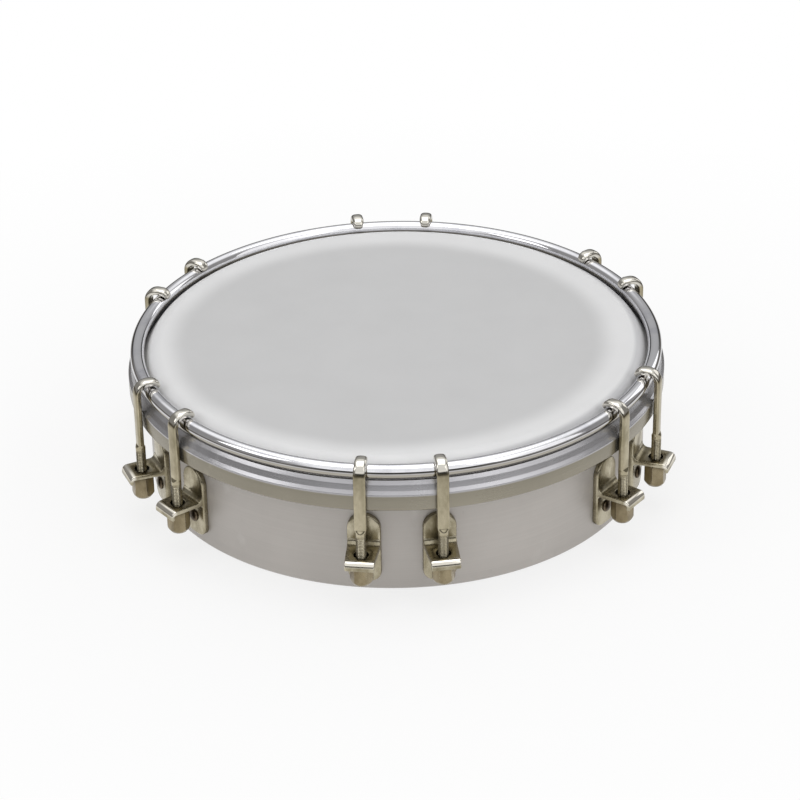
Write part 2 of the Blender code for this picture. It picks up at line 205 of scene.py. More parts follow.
def dress(name, mesh, material, node, body, place=None):
    """Add a piece that stands for a node of the frame and moves with its body."""
    piece = put_in_scene(name, mesh)
    if place is not None:
        piece.matrix_world = place
    if not mesh.materials:
        mesh.materials.append(material)
    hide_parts(node)
    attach(piece, body)
    return piece


print("edges stay sharp above", round(math.degrees(SMOOTH_ANGLE)), "degrees")

# %% [markdown]
# ## Helpers for shader nodes
# Every finish below is a small graph of shader nodes. Writing out each node and link takes many
# lines, so one helper adds a node, sets what it is told, and links any input that is given as
# another node's output. Two more do one step of arithmetic, on numbers or on places, and the last
# splits a place into its three axes.

# %% Add shader nodes and do arithmetic with them
def add(tree, kind, inputs=None, **settings):
    """Add a shader node, set its options, and fill or link its inputs."""
    node = tree.nodes.new("ShaderNode" + kind)
    for name, value in settings.items():
        setattr(node, name, value)
    for key, value in (inputs or {}).items():
        if isinstance(value, bpy.types.NodeSocket):
            tree.links.new(value, node.inputs[key])
        else:
            node.inputs[key].default_value = value
    return node


def number_step(tree, how, *values):
    """One step of arithmetic on numbers that change over the surface."""
    return add(tree, "Math", dict(enumerate(values)), operation=how).outputs[0]


def place_step(tree, how, *values):
    """The same for places and directions; a length or a dot product comes back as a number."""
    outputs = add(tree, "VectorMath", dict(enumerate(values)), operation=how).outputs
    return outputs["Value"] if how in ("LENGTH", "DOT_PRODUCT") else outputs["Vector"]


def axes_of(tree, place):
    """The X, Y and Z of a place, as outputs."""
    return add(tree, "SeparateXYZ", {0: place}).outputs


kinds = [kind for kind in dir(bpy.types) if kind.startswith("ShaderNode")]
print("Blender has about", len(kinds), "kinds of shader node to add")

# %% [markdown]
# ## Helpers for finishes
# The pattern that metal work needs most is noise that is stretched by a different scale along each
# axis: it makes turning lines, brushing or blotches. A ramp then says how much of the noise shows,
# and a blend puts one colour over another by that share. The last helpers start a finish, and hand
# its colour, its roughness and its fine relief to the shader.

# %% Make stretched noise, ramps and blends
def grain(tree, place, stretch, detail=3.0, roughness=0.6):
    """Noise from 0 to 1 whose cells are stretched along each axis; stretch is cells per metre."""
    mapping = add(tree, "Mapping", {"Vector": place, "Scale": stretch})
    noise = add(tree, "TexNoise", {"Vector": mapping.outputs[0], "Scale": 1.0, "Detail": detail,
                                   "Roughness": roughness})
    return noise.outputs["Fac"]


def ramp(tree, value, low, high, to_low=0.0, to_high=1.0, how="LINEAR"):
    """Spread a value between two limits, and hold it there beyond them."""
    limits = {"Value": value, "From Min": low, "From Max": high, "To Min": to_low, "To Max": to_high}
    return add(tree, "MapRange", limits, clamp=True, interpolation_type=how).outputs[0]


def blend(tree, share, first, second, how="MIX"):
    """Mix two colours, or two patterns, by a share."""
    node = tree.nodes.new("ShaderNodeMix")
    node.data_type = "RGBA"
    node.blend_type = how
    for index, value in ((0, share), (6, first), (7, second)):
        if isinstance(value, bpy.types.NodeSocket):
            tree.links.new(value, node.inputs[index])
        else:
            node.inputs[index].default_value = value if index == 0 else (*value, 1.0)
    return node.outputs[2]


print("a stretch of 500 cells per metre makes cells of", 1 / 500 / MM, "mm")

# %% Start a finish and cover a surface with it
def new_finish(name, metallic):
    """A material with its shader, and the coordinates that a piece carries with it."""
    material = bpy.data.materials.new(name)
    material.use_nodes = True
    tree = material.node_tree
    shader = tree.nodes["Principled BSDF"]
    shader.inputs["Metallic"].default_value = metallic
    return material, tree, shader, add(tree, "TexCoord").outputs["Object"]


def cover(tree, shader, colour, roughness, relief, strength, depth):
    """Give the shader a colour and a roughness, and let a relief tilt the light."""
    tree.links.new(colour, shader.inputs["Base Color"])
    tree.links.new(roughness, shader.inputs["Roughness"])
    bump = add(tree, "Bump", {"Height": relief, "Strength": strength, "Distance": depth})
    tree.links.new(bump.outputs[0], shader.inputs["Normal"])


print("the frame came with", len(bpy.data.materials), "plain materials")

# %% [markdown]
# ## Spun aluminium
# The shell is aluminium sheet, spun over a form. The tool leaves fine lines that run round the drum,
# and years of hands leave it satin, with cloudy patches and a few rubbed places. The lines come from
# noise with about two cells across the drum and more than a hundred up its height. It is read at
# each point's own place and not from a flat picture, so the lines run level all the way round with
# no seam. Colour, roughness and relief all read it, so they show in every light. A fully metallic
# shader would mirror the room's dark corners, which so worn a wall no longer does, so this one is
# set half way to metal.

# %% Make the shell's satin finish
SATIN_DARK = (0.485, 0.457, 0.428)
SATIN_LIGHT = (0.555, 0.524, 0.492)
SATIN_RUBBED = (0.60, 0.574, 0.546)
SATIN_ROUGH = (0.40, 0.50)
SATIN_METAL = 0.50
TOOL_LINES = (14, 14, 3200)
BROAD_LINES = (6, 6, 420)
CLOUDS = (34, 34, 26)
RUBBED_PLACES = (60, 60, 38)
PITS = (900, 900, 500)
LINE_DEPTH = 0.05 * MM
SHADE_BLEND = 0.5 * MM


def satin_aluminium(name, dark, light, rubbed, rough, metallic, painted_shade=None):
    """Spun metal; the last argument gives a height, and a tint that paints shade and reflection below it."""
    material, tree, shader, place = new_finish(name, metallic)
    lines = grain(tree, place, TOOL_LINES, detail=4.0)
    lines = blend(tree, 0.3, lines, grain(tree, place, BROAD_LINES, detail=2.0))
    marks = blend(tree, 0.6, lines, grain(tree, place, CLOUDS, detail=4.0, roughness=0.55))
    colour = blend(tree, ramp(tree, marks, 0.38, 0.62), dark, light)
    rub = ramp(tree, grain(tree, place, RUBBED_PLACES, detail=5.0), 0.60, 0.74)
    colour = blend(tree, rub, colour, rubbed)
    pits = ramp(tree, grain(tree, place, PITS, detail=2.0), 0.70, 0.80)
    colour = blend(tree, pits, colour, dark)
    # Below the given height the colour is tinted darker: painted shade and painted reflection.
    if painted_shade is not None:
        level, tint = painted_shade
        share = ramp(tree, axes_of(tree, place)["Z"], level, level - SHADE_BLEND)
        colour = blend(tree, share, colour, blend(tree, 1.0, colour, tint, "MULTIPLY"))
    shader.inputs["Anisotropic"].default_value = 0.35
    cover(tree, shader, colour, ramp(tree, marks, 0.35, 0.65, *rough), marks, 0.12, LINE_DEPTH)
    return material


shell_satin = satin_aluminium("shell_satin", SATIN_DARK, SATIN_LIGHT, SATIN_RUBBED, SATIN_ROUGH, SATIN_METAL)
print("shell finish has", len(shell_satin.node_tree.nodes), "nodes")

# %% [markdown]
# ## The shell
# One sheet, 1.5 mm thick, makes the whole shell. Its section starts at the turned-in hem that the
# drum stands on, goes up the plain wall, rolls over into the bearing edge under the head, and comes
# back down inside. It could be a cylinder with a Solidify modifier, but then the hem and the rolled
# edge would have to be added by hand, so the whole section is drawn once and turned.

# %% Turn the shell
SHEET = 1.5 * MM
HEM_BEND = 1.6 * MM
HEM_INNER_RADIUS = 72.2 * MM
HEM_EDGE = 0.3 * MM
HEM_FILLET_HEIGHT = 0.4 * MM
HEM_FILLET_WIDTH = 0.5 * MM
CREST_RADIUS = 71.3 * MM
LIP_RADIUS = 70.6 * MM
LIP_HEIGHT = 42.5 * MM
SHOULDER_BEND = SHELL_RADIUS - CREST_RADIUS
wall_inside = SHELL_RADIUS - SHEET
shoulder_level = SHELL_TOP - SHOULDER_BEND

shell_outline = arc((SHELL_RADIUS - HEM_BEND, HEM_BEND), HEM_BEND, -90, 0, 8)
shell_outline += arc((CREST_RADIUS, shoulder_level), SHOULDER_BEND, 0, 90, 18)
shell_outline += [(LIP_RADIUS, LIP_HEIGHT), (LIP_RADIUS, SHELL_TOP - SHEET)]
shell_outline += arc((CREST_RADIUS, shoulder_level), SHOULDER_BEND - SHEET, 90, 0, 12)
shell_outline += [(wall_inside, HEM_BEND + HEM_FILLET_HEIGHT), (wall_inside - HEM_FILLET_WIDTH, SHEET)]
shell_outline += [(HEM_INNER_RADIUS + HEM_EDGE, SHEET), (HEM_INNER_RADIUS, SHEET - HEM_EDGE)]
shell_outline += [(HEM_INNER_RADIUS, HEM_EDGE), (HEM_INNER_RADIUS + HEM_EDGE, 0.0)]
shell_mesh = to_mesh(turned(shell_outline), "turned_shell")
print("shell has", len(shell_mesh.polygons), "faces")

# %% [markdown]
# ## The flesh hoop
# The head ends in a ring of its own, an aluminium channel that grips the film's hem. From outside it
# shows a sloped upper face, a cove, a rounded ridge and a plain band. It is newer metal than the
# shell, turned and not handled, so it is brighter and shinier. The band below the ridge is painted
# duller and yellower, as painted shade and a painted reflection of what lies below it, and that
# change goes by height. The section is drawn as corners with a bend each, which is how a turner
# would dimension it.

# %% Make the flesh hoop's finish
TURNED_DARK = (0.50, 0.495, 0.515)
TURNED_LIGHT = (0.60, 0.595, 0.62)
TURNED_BRIGHT = (0.72, 0.715, 0.74)
TURNED_ROUGH = (0.20, 0.30)
TURNED_METAL = 0.8
# The band's tint is painted shade and painted reflection of what lies below it.
BAND_SHADE_TINT = (0.56, 0.52, 0.40)
BAND_TOP = 34.7 * MM
SHADED_BELOW = BAND_TOP + 0.6 * MM

flesh_bright = satin_aluminium("flesh_hoop_turned", TURNED_DARK, TURNED_LIGHT, TURNED_BRIGHT,
                               TURNED_ROUGH, TURNED_METAL, painted_shade=(SHADED_BELOW, BAND_SHADE_TINT))
print("flesh hoop is dull below", round(SHADED_BELOW / MM, 1), "mm")

# %% Turn the flesh hoop
FLESH_INNER = FLESH_HIGH.x - 4.9 * MM
RIDGE_HEIGHT = BAND_TOP + 0.8 * MM
COVE_RADIUS = FLESH_HIGH.x - 0.85 * MM
COVE_HEIGHT = BAND_TOP + 1.65 * MM
SLOPE_RADIUS = FLESH_HIGH.x - 1.52 * MM
SLOPE_HEIGHT = FLESH_HIGH.z - 1.05 * MM
FLESH_CREST = FLESH_HIGH.x - 2.3 * MM
CHANNEL_INNER = 77.55 * MM
CHANNEL_OUTER = 78.6 * MM
CHANNEL_FLOOR = 33.6 * MM
INNER_WALL_TOP = 37.0 * MM

flesh_corners = [
    (FLESH_INNER, FLESH_LOW.z, 0.2 * MM),
    (FLESH_HIGH.x, FLESH_LOW.z, 0.6 * MM),
    (FLESH_HIGH.x, RIDGE_HEIGHT, 0.35 * MM),
    (COVE_RADIUS, COVE_HEIGHT, 0.5 * MM),
    (SLOPE_RADIUS, SLOPE_HEIGHT, 0.6 * MM),
    (FLESH_CREST, FLESH_HIGH.z, 0.15 * MM),
    (CHANNEL_OUTER, FLESH_HIGH.z, 0.15 * MM),
    (CHANNEL_OUTER, CHANNEL_FLOOR, 0.0),
    (CHANNEL_INNER, CHANNEL_FLOOR, 0.0),
    (CHANNEL_INNER, INNER_WALL_TOP, 0.1 * MM),
    (FLESH_INNER, INNER_WALL_TOP, 0.1 * MM),
]
flesh_mesh = to_mesh(turned(rounded(flesh_corners, 5)), "flesh_hoop_ring")
dress("flesh_hoop_ring", flesh_mesh, flesh_bright, "flesh_hoop", "drum")
print("flesh hoop is", round((FLESH_HIGH.z - FLESH_LOW.z) / MM, 1), "mm high")

# %% [markdown]
# ## The head's colour
# The film is milky polyester, 0.3 mm thick, and scatters light as a plain matt plastic does. Its
# middle is painted grey, as painted shade for the dark inside of the drum that shows through, and
# the grey part isn't quite centred. Towards the rim it is whiter, and its shoulder, down in the
# groove beside the rod, is painted grey as the shade that falls there. All three go by the distance
# from the centre, so they are round masks made from the piece's own coordinates, which stay sharp at
# any size, as a painted picture wouldn't.

# %% Colour the milky film
FILM_GREY = (0.588, 0.588, 0.590)
FILM_WHITE = (0.765, 0.765, 0.768)
FILM_SHOULDER_SHADE = (0.58, 0.58, 0.59)
FILM_CLOUDS = (45, 45, 45)
GREY_EDGE = (61.5 * MM, 70.0 * MM)
GREY_SHIFT = (2.0 * MM, 2.0 * MM, 0.0)
GREY_WANDER = 0.5 * MM
WANDER_CELLS = (22, 22, 22)
SHOULDER_SHADE_EDGE = (74.1 * MM, 75.3 * MM)
SHOULDER_SHADE_SHIFT = (1.8 * MM, 0.6 * MM, 0.0)

head_film, tree, shader, place = new_finish("head_film_milky", 0.0)
flat_place = place_step(tree, "MULTIPLY", place, (1.0, 1.0, 0.0))


def distance_from(shift):
    """Distance from the head's centre once every place is moved by this much."""
    return place_step(tree, "LENGTH", place_step(tree, "ADD", flat_place, shift))


wander = ramp(tree, grain(tree, place, WANDER_CELLS, detail=2.0), 0.3, 0.7, -GREY_WANDER, GREY_WANDER)
grey_distance = number_step(tree, "ADD", distance_from(GREY_SHIFT), wander)
# The grey middle is painted shade, for the drum's dark inside that shows through the film.
whiter = ramp(tree, grey_distance, *GREY_EDGE, how="SMOOTHSTEP")
film_colour = blend(tree, whiter, FILM_GREY, FILM_WHITE)
# The shoulder in the groove beside the rod is painted grey: painted shade.
shoulder_shade = ramp(tree, distance_from(SHOULDER_SHADE_SHIFT), *SHOULDER_SHADE_EDGE)
film_colour = blend(tree, shoulder_shade, film_colour, FILM_SHOULDER_SHADE)
coat = ramp(tree, grain(tree, place, FILM_CLOUDS, detail=5.0), 0.35, 0.65, 0.985, 1.015)
film_colour = blend(tree, 1.0, film_colour, coat, "MULTIPLY")
print("grey part ends between", *(round(edge / MM, 1) for edge in GREY_EDGE), "mm from its centre")

# %% [markdown]
# ## The head's sheen
# A film that hands have touched isn't evenly glossy, and its surface is slightly dry. One noise
# moves the roughness a little, and a much finer one is the relief. A little light also sinks in and
# comes out beside where it went in, which makes the plastic look milky and not painted.

# %% Give the film its sheen
SMEARS = (70, 70, 70)
DRY_TOUCH = (2600, 2600, 2600)
TOUCH_DEPTH = 0.02 * MM
MILKINESS = 0.12
MILKY_DEPTH = 0.4 * MM

sheen = ramp(tree, grain(tree, place, SMEARS, detail=6.0), 0.3, 0.7, 0.32, 0.44)
cover(tree, shader, film_colour, sheen, grain(tree, place, DRY_TOUCH, detail=2.0), 0.10, TOUCH_DEPTH)
shader.inputs["Subsurface Weight"].default_value = MILKINESS
shader.inputs["Subsurface Radius"].default_value = (1.0, 1.0, 1.0)
shader.inputs["Subsurface Scale"].default_value = MILKY_DEPTH
print("film finish has", len(tree.nodes), "nodes")

# %% [markdown]
# ## The head's shape
# The film lies flat, rolls over the bearing edge and goes down into the flesh hoop's channel. A path
# with a thickness says that best: the helper walks along the path and steps half the thickness to
# each side of it. A Solidify modifier would do the same, but its edge would be hidden in a modifier.

# %% Turn the film
FILM = 0.3 * MM
FILM_CLEARANCE = 0.45 * MM
FILM_STATIONS = (0, 18, 36, 50, 60, 67)
FILM_HEM_RADIUS = 78.1 * MM
FILM_HEM_TOP = 36.8 * MM
FILM_HEM_BOTTOM = 34.0 * MM
FILM_INTO_HEM = [(77.45 * MM, 38.35 * MM), (77.95 * MM, 37.6 * MM)]
film_level = FILM_TOP - FILM / 2
film_bend = SHOULDER_BEND + FILM_CLEARANCE

film_path = [(radius * MM, film_level) for radius in FILM_STATIONS]
film_path += arc((CREST_RADIUS, film_level - film_bend), film_bend, 90, 20, 18) + FILM_INTO_HEM
film_path += [(FILM_HEM_RADIUS, FILM_HEM_TOP), (FILM_HEM_RADIUS, FILM_HEM_BOTTOM)]


def thickened(path, half):
    """Both faces of a sheet that follows a path of (radius, height) points."""
    above = []
    below = []
    for index, (radius, height) in enumerate(path):
        before = path[max(index - 1, 0)]
        after = path[min(index + 1, len(path) - 1)]
        along = math.atan2(after[1] - before[1], after[0] - before[0])
        step = (-math.sin(along) * half, math.cos(along) * half)
        above.append((radius + step[0], height + step[1]))
        below.append((radius - step[0], height - step[1]))
    return above + below[::-1]


film_mesh = to_mesh(turned(thickened(film_path, FILM / 2)), "head_film")
dress("head_film", film_mesh, head_film, "drumhead_film", "drum")
print("film has", len(film_mesh.polygons), "faces")

# %% [markdown]
# ## The chromed rod
# A round steel rod, bent to a ring and chromed, presses the flesh hoop down. Chrome is almost a
# mirror, so what it shows is the room: a white ceiling, a dark gap and the pale floor. The finish
# only has to break that up a little, with faint ripples from polishing and tiny pits. Below its
# middle the colour is painted darker and a little olive, as painted shade and a painted reflection
# of the floor.

# %% Make the chrome
CHROME = (0.90, 0.90, 0.93)
CHROME_DULL = (0.74, 0.74, 0.79)
CHROME_UNDER_SHADE = (0.42, 0.395, 0.345)
UNDER_SHADE_EDGE = (ROD_CENTRE_HEIGHT + 0.25 * MM, ROD_CENTRE_HEIGHT - 0.10 * MM)
RIPPLES = (120, 120, 120)
CHROME_PITS = (1500, 1500, 1500)
RIPPLE_DEPTH = 0.05 * MM

hoop_chrome, tree, shader, place = new_finish("hoop_chrome", 1.0)
ripples = grain(tree, place, RIPPLES, detail=5.0)
pits = ramp(tree, grain(tree, place, CHROME_PITS, detail=2.0), 0.68, 0.76)
rod_colour = blend(tree, ramp(tree, ripples, 0.5, 0.72), CHROME, CHROME_DULL)
# Below the rod's middle the colour is painted darker: painted shade and painted reflection of the floor.
rod_colour = blend(tree, ramp(tree, axes_of(tree, place)["Z"], *UNDER_SHADE_EDGE), rod_colour, CHROME_UNDER_SHADE)
rod_rough = ramp(tree, ripples, 0.40, 0.70, 0.045, 0.12)
cover(tree, shader, rod_colour, rod_rough, blend(tree, 0.25, ripples, pits), 0.08, RIPPLE_DEPTH)
print("chrome finish has", len(tree.nodes), "nodes")

# %% Turn the rod
ROD_STEPS = 28

rod_section = arc((ROD_CENTRE_RADIUS, ROD_CENTRE_HEIGHT), ROD_RADIUS, 0, 360, ROD_STEPS)[:-1]
rod_mesh = to_mesh(turned(rod_section), "counter_hoop_rod")
dress("counter_hoop_rod", rod_mesh, hoop_chrome, "counter_hoop", "drum")
print("rod is", round(2 * ROD_RADIUS / MM, 1), "mm thick")

# %% [markdown]
# ## How plating wears
# Brackets, hooks and nuts are steel with a warm nickel plate. It has gone olive with age, and is
# brightest where it is rubbed. Where pieces meet it is darkest, which is grime and painted shade at
# once. A Bevel node finds the edges by comparing a rounded normal with the true one, and an Ambient
# Occlusion node finds the corners. The places that hands and cases rub most, a hook's crown and a
# bracket's nose, are found by where they are on the piece; there the colour is rubbed polish and a
# painted highlight at once. Each piece has its own patches, because the noise is moved by its own
# random number.

# %% Find patches, worn edges and polished places
OWN_PATCHES = (0.31, 0.17, 0.23)
CORNER_REACH = 2.6 * MM
POLISH_BLEND = 1.0 * MM


def own_patches(tree, place):
    """A piece's coordinates, moved by its own random number, so that no two pieces match."""
    own = add(tree, "ObjectInfo").outputs["Random"]
    return place_step(tree, "ADD", place, place_step(tree, "MULTIPLY", own, OWN_PATCHES))


def worn_edges(tree, edge):
    """How much a rounding of this radius would tilt the surface: 1 on an edge, 0 elsewhere."""
    rounded_normal = add(tree, "Bevel", {"Radius": edge}, samples=4).outputs[0]
    true_normal = add(tree, "NewGeometry").outputs["Normal"]
    return ramp(tree, place_step(tree, "DOT_PRODUCT", rounded_normal, true_normal), 0.995, 0.90)


def open_places(tree):
    """0 deep in a corner and 1 in the open."""
    corner = add(tree, "AmbientOcclusion", {"Distance": CORNER_REACH}, samples=8)
    return ramp(tree, corner.outputs["AO"], 0.25, 0.85)


def polished_places(tree, place, limits):
    """1 past every limit, each of them an axis and where on it the polish starts."""
    along = axes_of(tree, place)
    share = 1.0
    for axis, start in limits:
        share = number_step(tree, "MULTIPLY", share, ramp(tree, along[axis], start, start + POLISH_BLEND))
    return share


print("corners darken within", round(CORNER_REACH / MM, 1), "mm")

# %% [markdown]
# ## Warm nickel
# One recipe serves all four lug pieces, with other colours for each: the hooks are handled most and
# are the lightest, the nuts are darker, and the rivets are the dullest. A table of the four is
# easier to compare and to change than four separate materials.

# %% Write the recipe for warm nickel
TARNISH = (210, 210, 120)
SPECKLE = (1700, 1700, 900)
PLATE_DEPTH = 0.06 * MM
GRIME_AND_SHADE = 0.35
POLISH_ROUGH = 0.35


def warm_nickel(name, dark, light, worn, rough, edge, polish_and_highlight=None):
    """Plated steel; the last argument gives where use has rubbed, and its colour there: polish and painted
    highlight.
    """
    material, tree, shader, place = new_finish(name, 1.0)
    patches = own_patches(tree, place)
    tarnish = grain(tree, patches, TARNISH, detail=5.0, roughness=0.62)
    speckle = grain(tree, patches, SPECKLE)
    colour = blend(tree, ramp(tree, tarnish, 0.36, 0.64), dark, light)
    colour = blend(tree, ramp(tree, speckle, 0.62, 0.74, 0.0, 0.6), colour, dark)
    uneven = ramp(tree, tarnish, 0.35, 0.6, 0.25, 0.9)
    colour = blend(tree, number_step(tree, "MULTIPLY", worn_edges(tree, edge), uneven), colour, worn)
    # Corners take a darker colour: grime and painted shade at once.
    colour = blend(tree, open_places(tree), tuple(channel * GRIME_AND_SHADE for channel in dark), colour)
    roughness = ramp(tree, tarnish, 0.30, 0.70, *reversed(rough))
    if polish_and_highlight is not None:
        limits, bright = polish_and_highlight
        share = polished_places(tree, place, limits)
        colour = blend(tree, share, colour, bright)
        keep = ramp(tree, share, 0.0, 1.0, 1.0, POLISH_ROUGH)
        roughness = number_step(tree, "MULTIPLY", roughness, keep)
    cover(tree, shader, colour, roughness, blend(tree, 0.4, tarnish, speckle), 0.12, PLATE_DEPTH)
    return material


print("polish leaves", round(POLISH_ROUGH * 100), "percent of the roughness")

# %% Make the four nickel finishes
NICKEL_WORN = (0.78, 0.74, 0.64)
BRACKET_DARK = (0.25, 0.215, 0.135)
BRACKET_LIGHT = (0.50, 0.455, 0.34)
HOOK_DARK = (0.34, 0.30, 0.20)
HOOK_LIGHT = (0.52, 0.465, 0.335)
NUT_DARK = (0.20, 0.16, 0.095)
NUT_LIGHT = (0.33, 0.275, 0.175)
RIVET_DARK = (0.13, 0.095, 0.06)
RIVET_LIGHT = (0.30, 0.25, 0.18)
# Crown and nose are brighter: rubbed polish and a painted highlight at once.
CROWN_POLISH_AND_HIGHLIGHT = ((("Z", 42.8 * MM),), (0.71, 0.685, 0.62))
NOSE_POLISH_AND_HIGHLIGHT = ((("X", 3.0 * MM), ("Z", 14.7 * MM)), (0.84, 0.80, 0.71))
# Dark, light and worn colour, roughness where clean and where tarnished, width of edges, polish and painted
# highlight.
LUG_FINISHES = {
    "bracket_nickel": (BRACKET_DARK, BRACKET_LIGHT, NICKEL_WORN, (0.20, 0.34), 0.25 * MM, NOSE_POLISH_AND_HIGHLIGHT),
    "hook_nickel": (HOOK_DARK, HOOK_LIGHT, NICKEL_WORN, (0.14, 0.26), 0.2 * MM, CROWN_POLISH_AND_HIGHLIGHT),
    "nut_nickel": (NUT_DARK, NUT_LIGHT, NICKEL_WORN, (0.22, 0.36), 0.2 * MM),
    "rivet_dull": (RIVET_DARK, RIVET_LIGHT, BRACKET_LIGHT, (0.28, 0.45), 0.15 * MM),
}
nickel = {name: warm_nickel(name, *finish) for name, finish in LUG_FINISHES.items()}
print("made", ", ".join(nickel))

# %% [markdown]
# ## The bracket's plate
# A bracket is one pressing: an oval back plate that follows the shell's curve, with a shelf that
# stands out of it. The plate is drawn from the front and extruded. A bevel on its front edge gives
# the pressed radius, which is what catches the light. It is cut into strips before it is bent to the
# shell's curve, because a face can only bend where it has points.

# %% Model the back plate
PLATE_FRONT = 77.8 * MM - SHANK_RADIUS
PLATE_BACK = SHELL_RADIUS + 0.05 * MM - SHANK_RADIUS
PLATE_HALF_WIDTH = 4.9 * MM
PLATE_BOTTOM = 4.0 * MM
PLATE_TOP = 26.3 * MM
PLATE_RIM = 0.5 * MM
PLATE_FOOT_BEND = 3.2 * MM
STRIP_CUTS = range(-4, 5)
NEARLY = 0.1 * MM


def extruded(outline, low, high, to_point):
    """Extrude a closed outline between two levels; to_point gives each corner its place."""
    return skin([[to_point(a, b, level) for a, b in outline] for level in (low, high)], closed_ends=True)


def back_plate():
    """The oval plate, bevelled in front and bent to the shell."""
    foot_side = PLATE_HALF_WIDTH - PLATE_FOOT_BEND
    foot_level = PLATE_BOTTOM + PLATE_FOOT_BEND
    outline = arc((0.0, PLATE_TOP - PLATE_HALF_WIDTH), PLATE_HALF_WIDTH, 0, 180, 32)
    outline += arc((-foot_side, foot_level), PLATE_FOOT_BEND, 180, 270, 12)
    outline += arc((foot_side, foot_level), PLATE_FOOT_BEND, 270, 360, 12)
    bm = extruded(outline, PLATE_BACK, PLATE_FRONT, lambda y, z, x: (x, y, z))
    rim = [edge for edge in bm.edges if all(v.co.x > PLATE_FRONT - NEARLY for v in edge.verts)]
    bmesh.ops.bevel(bm, geom=rim, offset=PLATE_RIM, segments=4, affect="EDGES", profile=0.5)
    for side in STRIP_CUTS:
        everything = bm.verts[:] + bm.edges[:] + bm.faces[:]
        bmesh.ops.bisect_plane(bm, geom=everything, plane_co=(0, side * MM, 0), plane_no=(0, 1, 0))
    for vert in bm.verts:
        vert.co.x -= vert.co.y ** 2 / (2 * SHELL_RADIUS)
    return to_mesh(bm, "back_plate")


plate_mesh = back_plate()
print("back plate has", len(plate_mesh.polygons), "faces")

# %% [markdown]
# ## The bracket's shelf
# The shelf takes the hook's pull. It grows out of the plate with a fillet and ends in a nose curled
# down, which stiffens it and is smooth to the hand. Its section is drawn from the side and extruded
# across, a little narrower at the nose than at the root.

# %% Model the shelf with its curled nose
SHELF_TOP = 16.5 * MM
SHELF = 1.4 * MM
SHELF_ROOT_WIDTH = 9.6 * MM
SHELF_NOSE_WIDTH = 8.5 * MM
SHELF_EDGE = 0.28 * MM
ROOT_FILLET = 1.7 * MM
UNDER_FILLET = 0.6 * MM
NOSE_REACH = 88.4 * MM - SHANK_RADIUS
NOSE_BEND = 1.7 * MM
NOSE_SHEET = 1.1 * MM
NOSE_LIP = 0.5 * MM
NOSE_BOTTOM = 13.6 * MM
NOSE_CHAMFER = 0.2 * MM
NOSE_FILLET = 0.3 * MM


def shelf_section():
    """The shelf and its nose from the side, as (outwards, height) points."""
    buried = (PLATE_BACK + PLATE_FRONT) / 2
    under = SHELF_TOP - SHELF
    nose_back = NOSE_REACH - NOSE_SHEET
    section = [(buried, SHELF_TOP + ROOT_FILLET)]
    section += arc((PLATE_FRONT + ROOT_FILLET, SHELF_TOP + ROOT_FILLET), ROOT_FILLET, 180, 270, 8)
    section += arc((NOSE_REACH - NOSE_BEND, SHELF_TOP - NOSE_BEND), NOSE_BEND, 90, 0, 10)
    section += arc((NOSE_REACH - NOSE_LIP, NOSE_BOTTOM + NOSE_LIP), NOSE_LIP, 0, -90, 5)
    section += [(nose_back + NOSE_CHAMFER, NOSE_BOTTOM), (nose_back, NOSE_BOTTOM + NOSE_CHAMFER)]
    section += arc((nose_back - NOSE_FILLET, under - NOSE_FILLET), NOSE_FILLET, 0, 90, 3)
    section += arc((PLATE_FRONT + UNDER_FILLET, under - UNDER_FILLET), UNDER_FILLET, 90, 180, 4)
    return section + [(buried, under - UNDER_FILLET)]


def shelf():
    """The section extruded across, with its side edges bevelled."""
    def place(x, z, side):
        share = min(max((x - PLATE_FRONT) / (NOSE_REACH - PLATE_FRONT), 0.0), 1.0)
        width = SHELF_ROOT_WIDTH + (SHELF_NOSE_WIDTH - SHELF_ROOT_WIDTH) * share
        return (x, side * width / 2, z)

    bm = extruded(shelf_section(), -1.0, 1.0, place)
    rim = [edge for edge in bm.edges if len({v.co.y > 0 for v in edge.verts}) == 1]
    bmesh.ops.bevel(bm, geom=rim, offset=SHELF_EDGE, segments=3, affect="EDGES", profile=0.5)
    return to_mesh(bm, "shelf")


shelf_mesh = shelf()
print("shelf has", len(shelf_mesh.polygons), "faces")

# %% [markdown]
# ## Joining and drilling
# Union and difference are done by a Boolean modifier on a helper object. Its result is copied to a new
# mesh, and the helpers go. That keeps the scene clean, and the finished bracket is one closed surface
# with real holes. Round parts that aren't sheet, such as rivets and drills, are stacks of circles.

# %% Join two meshes, or cut one with the other
def combined(first, second, operation):
    """Join or cut two meshes with an exact boolean."""
    helpers = [put_in_scene("helper", mesh) for mesh in (first, second)]
    modifier = helpers[0].modifiers.new("boolean", "BOOLEAN")
    modifier.operation = operation
    modifier.solver = "EXACT"
    modifier.object = helpers[1]
    bpy.context.view_layer.update()
    shaped = helpers[0].evaluated_get(bpy.context.evaluated_depsgraph_get())
    mesh = bpy.data.meshes.new_from_object(shaped)
    for helper in helpers:
        bpy.data.objects.remove(helper)
    return mesh


def stacked(profile, steps, to_point):
    """Skin a stack of circles of (radius, level); to_point gives each corner its place."""
    turns = [2 * math.pi * step / steps for step in range(steps)]
    rings = [[to_point(radius * math.cos(turn), radius * math.sin(turn), level) for turn in turns]
             for radius, level in profile]
    return skin(rings, closed_ends=True)


bracket_mesh = combined(plate_mesh, shelf_mesh, "UNION")
print("joined bracket has", len(bracket_mesh.polygons), "faces")

# %% [markdown]
# ## Holes in the bracket
# The shelf has a plain hole for the shank, flared at its upper edge so that it doesn't scrape the
# hook. The rivet's hole lies level, below the shelf. Both drills are longer than what they cut, so
# that no two faces lie in one plane, which a boolean handles badly.

